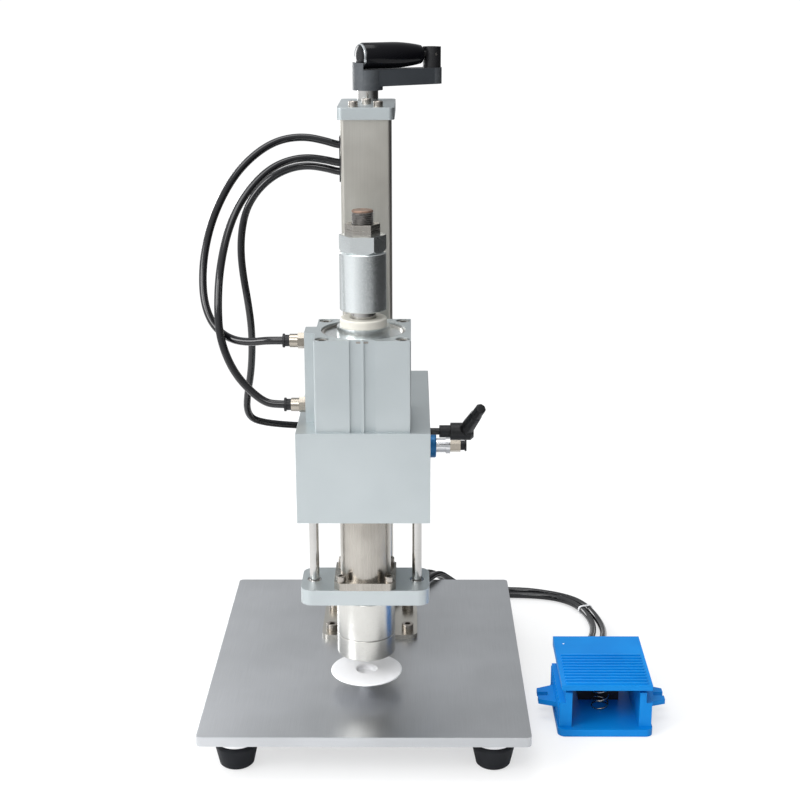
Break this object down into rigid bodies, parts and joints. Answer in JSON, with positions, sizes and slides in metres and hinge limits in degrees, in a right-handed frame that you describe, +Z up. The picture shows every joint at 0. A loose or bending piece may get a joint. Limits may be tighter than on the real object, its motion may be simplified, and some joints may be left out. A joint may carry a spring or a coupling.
{
  "type": "vial capping machine",
  "caption": "Bench-top pneumatic vial capping press: crimping head on a hand-cranked column carriage, with a foot valve on hoses.",
  "frame": {"origin": "on the floor, directly under the crimping axis and the centre of the bottle seat", "axes": "+Z up, +Y from the operator towards the column, +X to the operator's right"},
  "size_m": [0.4886, 0.4645, 0.7019],
  "materials": {
    "brushed_plate": "brushed stainless sheet",
    "column_steel": "brushed stainless tube, warm grey",
    "spacer_steel": "turned steel",
    "foot_rubber": "black moulded rubber",
    "satin_aluminium": "satin anodised",
    "turned_aluminium": "fine turned",
    "bright_steel": "hard chromed and ground",
    "screw_steel": "plain stainless fasteners",
    "ram_steel": "satin ground stainless",
    "head_steel": "polished stainless",
    "bronze": "bearing bronze",
    "nickel": "nickel plated brass",
    "white_plastic": "white engineering plastic",
    "pale_plastic": "off-white engineering plastic",
    "black_plastic": "black glass-filled plastic",
    "grip_plastic": "polished black phenolic",
    "grip_end": "grey end cap",
    "crank_paint": "dark grey textured powder coat",
    "black_steel": "blackened steel",
    "spring_steel": "spring wire",
    "blue_anodised": "blue anodised aluminium",
    "pedal_blue": "blue moulded plastic",
    "valve_block": "cast aluminium",
    "hose_black": "black polyurethane tube"
  },
  "bodies": {
    "frame": {"base_plate": "brushed_plate", "foot_spacers": "spacer_steel", "rubber_feet": "foot_rubber", "column": "column_steel", "flange_screws": "screw_steel", "column_cap": "satin_aluminium", "cap_screws": "screw_steel", "screw_bearings": "bright_steel", "hose_grommets": "foot_rubber", "bottle_seat": "white_plastic", "hose_tee": "nickel", "column_hoses": "hose_black", "floor_supply_hose": "hose_black", "floor_outlet_hose": "hose_black", "hose_tie": "white_plastic", "pedal_base": "pedal_blue", "pedal_pin": "screw_steel", "pedal_valve": "valve_block", "pedal_spring": "spring_steel", "upper_hose": "hose_black", "lower_hose": "hose_black", "supply_hose": "hose_black"},
    "crank": {"lead_screw": "screw_steel", "crank_arm": "crank_paint", "grip_pivot": "black_plastic", "grip_pin": "screw_steel"},
    "grip_stem": {"grip_stem": "black_steel"},
    "grip": {"grip_barrel": "grip_plastic", "grip_cap": "grip_end"},
    "carriage": {"carriage_block": "satin_aluminium", "nut_bracket": "satin_aluminium", "lead_nut": "bronze", "guide_bushes": "bronze", "cylinder_barrel": "satin_aluminium", "cylinder_covers": "turned_aluminium", "snap_ring": "screw_steel", "cylinder_screws": "screw_steel", "bumper_pad": "pale_plastic", "push_in_fittings": "nickel", "valve_body": "spacer_steel"},
    "ram": {"piston": "turned_aluminium", "piston_rod": "bright_steel", "stop_sleeve": "turned_aluminium", "jam_nuts": "screw_steel", "ram_tube": "ram_steel", "ram_flange_screws": "screw_steel", "tool_plate": "satin_aluminium", "guide_rods": "bright_steel", "head_body": "head_steel", "closing_ring": "head_steel", "collet": "head_steel", "presser_spring": "spring_steel"},
    "presser": {"presser": "head_steel"},
    "clamp_pad": {"clamp_pad": "screw_steel"},
    "clamp_stud": {"clamp_stud": "black_steel"},
    "clamp_lever": {"clamp_lever": "black_plastic"},
    "valve_sleeve": {"valve_sleeve": "blue_anodised"},
    "release_ring": {"release_ring": "black_plastic"},
    "treadle": {"pedal_treadle": "pedal_blue"},
    "plunger": {"valve_plunger": "valve_block"}
  },
  "joints": [
    {"name": "crank_turn", "type": "hinge", "parent": "frame", "child": "crank", "pos_m": [0, 0.21, 0.66], "axis": [0, 0, -1], "range_deg": [-901, 13501]},
    {"name": "carriage_lift", "type": "slide", "parent": "frame", "child": "carriage", "axis": [0, 0, 1], "range_m": [-0.01, 0.15], "deforming": ["upper_hose", "lower_hose", "supply_hose"]},
    {"name": "grip_fold", "type": "hinge", "parent": "crank", "child": "grip_stem", "pos_m": [0.07, 0.248, 0.6879], "axis": [-0.4771, 0.8789, 0], "range_deg": [0, 90]},
    {"name": "grip_spin", "type": "hinge", "parent": "grip_stem", "child": "grip", "pos_m": [0.07, 0.248, 0.6879], "axis": [-0.8789, -0.4771, 0], "continuous": true},
    {"name": "ram_stroke", "type": "slide", "parent": "carriage", "child": "ram", "axis": [0, 0, -1], "range_m": [0, 0.0078]},
    {"name": "presser_float", "type": "slide", "parent": "ram", "child": "presser", "axis": [0, 0, 1], "range_m": [0, 0.005], "stiffness_N_per_m": 2000, "springref_m": -0.004, "deforming": ["presser_spring"]},
    {"name": "clamp_release", "type": "slide", "parent": "carriage", "child": "clamp_pad", "axis": [1, 0, 0], "range_m": [0, 0.000312]},
    {"name": "clamp_turn", "type": "hinge", "parent": "clamp_pad", "child": "clamp_stud", "pos_m": [0.066, 0.1515, 0.282], "axis": [1, 0, 0], "range_deg": [0, 90]},
    {"name": "lever_lift", "type": "slide", "parent": "clamp_stud", "child": "clamp_lever", "axis": [1, 0, 0], "range_m": [0, 0.004], "stiffness_N_per_m": 1500, "springref_m": -0.002},
    {"name": "valve_slide", "type": "slide", "parent": "carriage", "child": "valve_sleeve", "axis": [-1, 0, 0], "range_m": [0, 0.008]},
    {"name": "ring_press", "type": "slide", "parent": "carriage", "child": "release_ring", "axis": [-1, 0, 0], "range_m": [0, 0.0012], "stiffness_N_per_m": 3000, "springref_m": -0.0005},
    {"name": "treadle_press", "type": "hinge", "parent": "frame", "child": "treadle", "pos_m": [0.252, 0.072, 0.048], "axis": [1, 0, 0], "range_deg": [0, 5], "stiffness_Nm_per_rad": 5, "springref_deg": -2.86, "deforming": ["pedal_spring"]},
    {"name": "plunger_press", "type": "slide", "parent": "frame", "child": "plunger", "axis": [0, 0, -1], "range_m": [0, 0.0021]}
  ],
  "couplings": [
    {"joint": "crank_turn", "follows": "carriage_lift", "rad_per_m": 1570.8},
    {"joint": "clamp_turn", "follows": "clamp_release", "rad_per_m": 5026.5},
    {"joint": "plunger_press", "follows": "treadle_press", "m_per_rad": 0.024}
  ]
}
